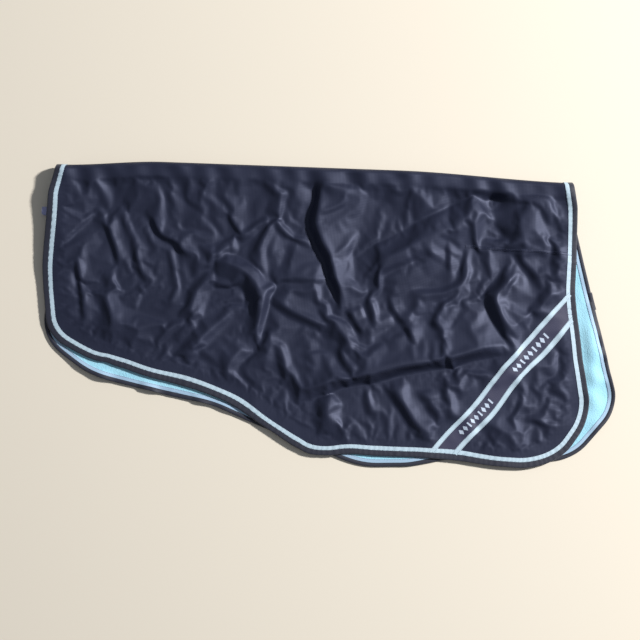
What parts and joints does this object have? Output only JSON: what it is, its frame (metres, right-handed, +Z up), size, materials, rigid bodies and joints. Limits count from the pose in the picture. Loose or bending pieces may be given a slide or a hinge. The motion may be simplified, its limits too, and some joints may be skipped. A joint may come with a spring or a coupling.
{
  "type": "turnout rug",
  "caption": "Waterproof horse rug of exercise-sheet cut with a fleece lining, folded in half along its spine and lying flat.",
  "frame": {"origin": "centre of the folded rug's plan, at the surface it lies on", "axes": "+X from the front of the spine to the rear, +Y towards the fold along the spine, +Z up"},
  "size_m": [1.4008, 0.7091, 0.034],
  "materials": {
    "shell_cloth": "satin",
    "lining_fleece": "matte",
    "binding_tape": "satin",
    "pale_tape": "satin",
    "facing_tape": "matte",
    "band_webbing": "satin",
    "seam_seal": "satin",
    "loop_webbing": "satin"
  },
  "bodies": {
    "off_side": {"off_outer_shell": "shell_cloth", "off_fleece_lining": "lining_fleece", "off_edge_binding": "binding_tape", "off_trim_tape": "pale_tape", "off_facing_tape": "facing_tape", "off_diagonal_webbing": "band_webbing", "off_diagonal_tapes": "pale_tape", "off_rump_seam_tape": "seam_seal", "off_front_loop": "loop_webbing"},
    "near_side": {"near_outer_shell": "shell_cloth", "near_fleece_lining": "lining_fleece", "near_edge_binding": "binding_tape", "near_trim_tape": "pale_tape", "near_facing_tape": "facing_tape", "near_diagonal_webbing": "band_webbing", "near_diagonal_tapes": "pale_tape", "near_rump_seam_tape": "seam_seal", "near_front_loop": "loop_webbing"}
  },
  "joints": [
    {"name": "spine_fold", "type": "hinge", "parent": "off_side", "child": "near_side", "pos_m": [0, 0.3552, 0.017], "axis": [-1, 0, 0], "range_deg": [0, 180]}
  ]
}
